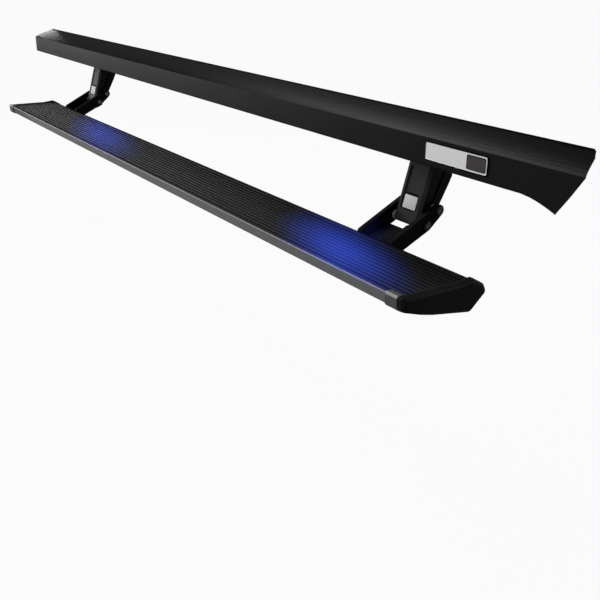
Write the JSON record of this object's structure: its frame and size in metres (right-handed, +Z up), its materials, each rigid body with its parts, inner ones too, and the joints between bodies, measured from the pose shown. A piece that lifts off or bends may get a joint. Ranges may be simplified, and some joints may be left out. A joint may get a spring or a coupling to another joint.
{
  "type": "running board",
  "caption": "Powered running board: a long ribbed step board that swings out and down on parallel-arm linkages from beneath a rocker fascia.",
  "frame": {"origin": "centre of the top of the middle fascia bracket's foot, on the plane where the vehicle's rocker sits", "axes": "+X along the board towards the end with the flared fascia, +Y inboard under the vehicle, +Z up"},
  "size_m": [2.6, 0.4388, 0.3082],
  "materials": {
    "textured_black_plastic": "fine grain, satin black",
    "satin_black_aluminium": "satin black anodised extrusion",
    "moulded_black_cap": "satin black moulding",
    "coated_casting": "black powder coat over cast aluminium",
    "zinc_plated_steel": "bright zinc",
    "bush_polymer": "plain, off-white",
    "coated_bracket": "black e-coat over folded steel",
    "lamp_lens": "clear"
  },
  "bodies": {
    "rocker_side": {"rocker_fascia": "textured_black_plastic", "fascia_bracket_far": "coated_bracket", "fascia_bracket_mid_far": "coated_bracket", "fascia_bracket_middle": "coated_bracket", "fascia_bracket_mid_near": "coated_bracket", "fascia_bracket_near": "coated_bracket", "step_lamp_near": "textured_black_plastic", "step_lamp_far": "textured_black_plastic", "lamp_lens_near": "lamp_lens", "lamp_lens_far": "lamp_lens", "linkage_housing_near": "coated_casting", "linkage_housing_far": "coated_casting", "fascia_stay_near": "coated_bracket", "fascia_stay_far": "coated_bracket", "front_upper_pin_far": "zinc_plated_steel", "rear_upper_pin_near": "zinc_plated_steel", "rear_upper_pin_far": "zinc_plated_steel", "gearbox": "coated_casting", "drive_motor": "coated_bracket"},
    "front_arm_near": {"front_arm_near": "coated_casting", "drive_shaft": "zinc_plated_steel", "front_upper_bush_near_left": "bush_polymer", "front_upper_bush_near_right": "bush_polymer", "front_lower_bush_near_left": "bush_polymer", "front_lower_bush_near_right": "bush_polymer"},
    "rear_arm_near": {"rear_arm_near": "coated_casting", "rear_upper_bush_near_left": "bush_polymer", "rear_upper_bush_near_right": "bush_polymer", "rear_lower_bush_near_left": "bush_polymer", "rear_lower_bush_near_right": "bush_polymer"},
    "front_arm_far": {"front_arm_far": "coated_casting", "front_upper_bush_far_left": "bush_polymer", "front_upper_bush_far_right": "bush_polymer", "front_lower_bush_far_left": "bush_polymer", "front_lower_bush_far_right": "bush_polymer"},
    "rear_arm_far": {"rear_arm_far": "coated_casting", "rear_upper_bush_far_left": "bush_polymer", "rear_upper_bush_far_right": "bush_polymer", "rear_lower_bush_far_left": "bush_polymer", "rear_lower_bush_far_right": "bush_polymer"},
    "step": {"step_board": "satin_black_aluminium", "end_cap_near": "moulded_black_cap", "end_cap_far": "moulded_black_cap", "step_carrier_near": "coated_casting", "step_carrier_far": "coated_casting", "front_lower_pin_near": "zinc_plated_steel", "front_lower_pin_far": "zinc_plated_steel", "rear_lower_pin_near": "zinc_plated_steel", "rear_lower_pin_far": "zinc_plated_steel", "carrier_bolt_near_left": "zinc_plated_steel", "carrier_bolt_near_right": "zinc_plated_steel", "carrier_bolt_far_left": "zinc_plated_steel", "carrier_bolt_far_right": "zinc_plated_steel", "carrier_nut_near_left": "zinc_plated_steel", "carrier_nut_near_right": "zinc_plated_steel", "carrier_nut_far_left": "zinc_plated_steel", "carrier_nut_far_right": "zinc_plated_steel"}
  },
  "joints": [
    {"name": "step_fold", "type": "hinge", "parent": "rocker_side", "child": "front_arm_near", "pos_m": [0.805, 0.0264, -0.0511], "axis": [1, 0, 0], "range_deg": [0, 92]},
    {"name": "rear_arm_near_swing", "type": "hinge", "parent": "rocker_side", "child": "rear_arm_near", "pos_m": [0.805, 0.0564, -0.0241], "axis": [1, 0, 0], "range_deg": [0, 92]},
    {"name": "front_arm_far_swing", "type": "hinge", "parent": "rocker_side", "child": "front_arm_far", "pos_m": [-0.985, 0.0264, -0.0511], "axis": [1, 0, 0], "range_deg": [0, 92]},
    {"name": "rear_arm_far_swing", "type": "hinge", "parent": "rocker_side", "child": "rear_arm_far", "pos_m": [-0.985, 0.0564, -0.0241], "axis": [1, 0, 0], "range_deg": [0, 92]},
    {"name": "step_level", "type": "hinge", "parent": "front_arm_near", "child": "step", "pos_m": [0.805, -0.03699, -0.18705], "axis": [1, 0, 0], "range_deg": [-92, 0]}
  ],
  "couplings": [
    {"joint": "rear_arm_near_swing", "follows": "step_fold", "ratio": 1},
    {"joint": "front_arm_far_swing", "follows": "step_fold", "ratio": 1},
    {"joint": "rear_arm_far_swing", "follows": "step_fold", "ratio": 1},
    {"joint": "step_level", "follows": "step_fold", "ratio": -1}
  ]
}
